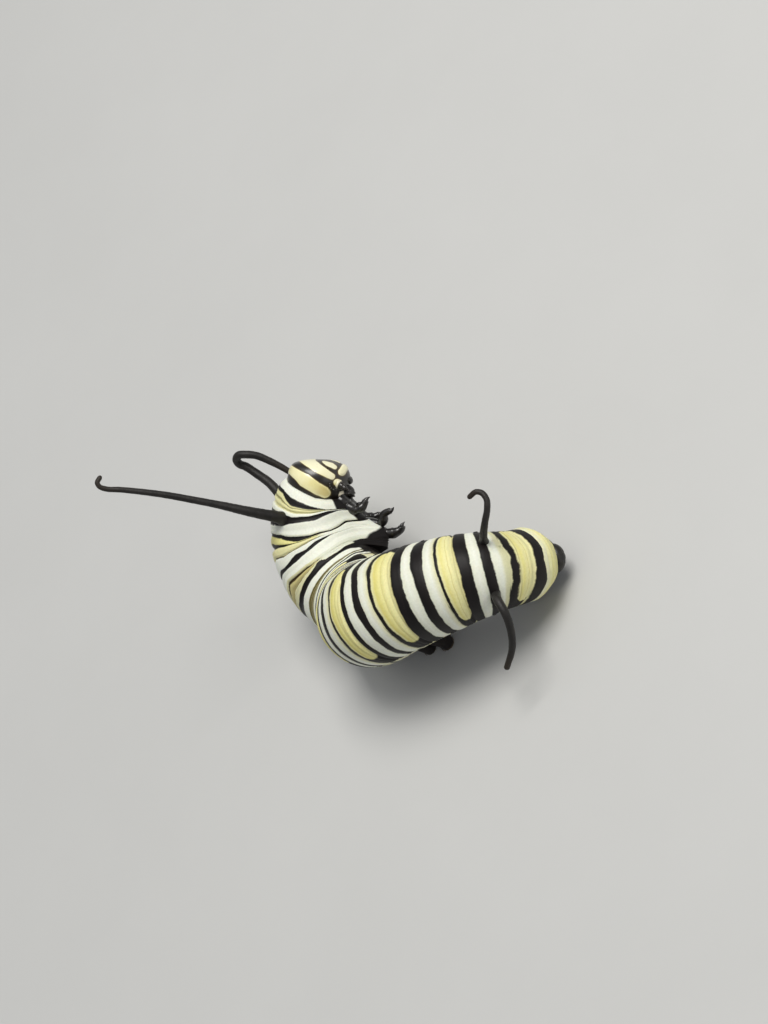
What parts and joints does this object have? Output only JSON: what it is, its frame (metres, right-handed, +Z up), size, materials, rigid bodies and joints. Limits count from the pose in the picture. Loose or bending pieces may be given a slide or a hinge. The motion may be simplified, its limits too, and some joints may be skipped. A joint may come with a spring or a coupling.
{
  "type": "monarch larva model",
  "caption": "Life-size still model of a monarch butterfly larva, banded black, white and yellow, arched with its front end bent round, resting on its fleshy feet.",
  "frame": {"origin": "on the floor under the middle of the outer box", "axes": "+Z up from the floor; +X towards the tail end, so the head end is at -X; +Y from the arched abdomen towards the head"},
  "size_m": [0.023, 0.0176, 0.0161],
  "materials": {
    "skin": "smooth moist skin with crosswise black, off-white and yellow bands",
    "head_shell": "glossy hard shell, black with pale yellow arches",
    "mouthparts": "glossy black shell",
    "plate": "glossy black shell",
    "legs": "glossy black shell",
    "feelers": "satin black skin"
  },
  "bodies": {
    "root": {"head": "head_shell", "mandible_right": "mouthparts", "mandible_left": "mouthparts", "labrum": "mouthparts", "antenna_right": "mouthparts", "antenna_left": "mouthparts", "thorax_1": "skin", "thorax_2": "skin", "thorax_3": "skin", "abdomen_1": "skin", "abdomen_2": "skin", "abdomen_3": "skin", "abdomen_4": "skin", "abdomen_5": "skin", "abdomen_6": "skin", "abdomen_7": "skin", "abdomen_8": "skin", "abdomen_9": "skin", "abdomen_10": "skin", "proleg_A3_left": "skin", "proleg_A3_right": "skin", "proleg_A4_left": "skin", "proleg_A4_right": "skin", "proleg_A5_left": "skin", "proleg_A5_right": "skin", "proleg_A6_left": "skin", "proleg_A6_right": "skin", "anal_proleg_left": "skin", "anal_proleg_right": "skin", "anal_plate": "plate", "leg_T1_left": "legs", "leg_T1_right": "legs", "leg_T2_left": "legs", "leg_T2_right": "legs", "leg_T3_left": "legs", "leg_T3_right": "legs", "tentacle_front_right_base": "feelers", "tentacle_front_right_middle": "feelers", "tentacle_front_right_tip": "feelers", "tentacle_front_left_base": "feelers", "tentacle_front_left_middle": "feelers", "tentacle_front_left_tip": "feelers", "tentacle_rear_right_base": "feelers", "tentacle_rear_right_tip": "feelers", "tentacle_rear_left_base": "feelers", "tentacle_rear_left_tip": "feelers"}
  },
  "joints": []
}
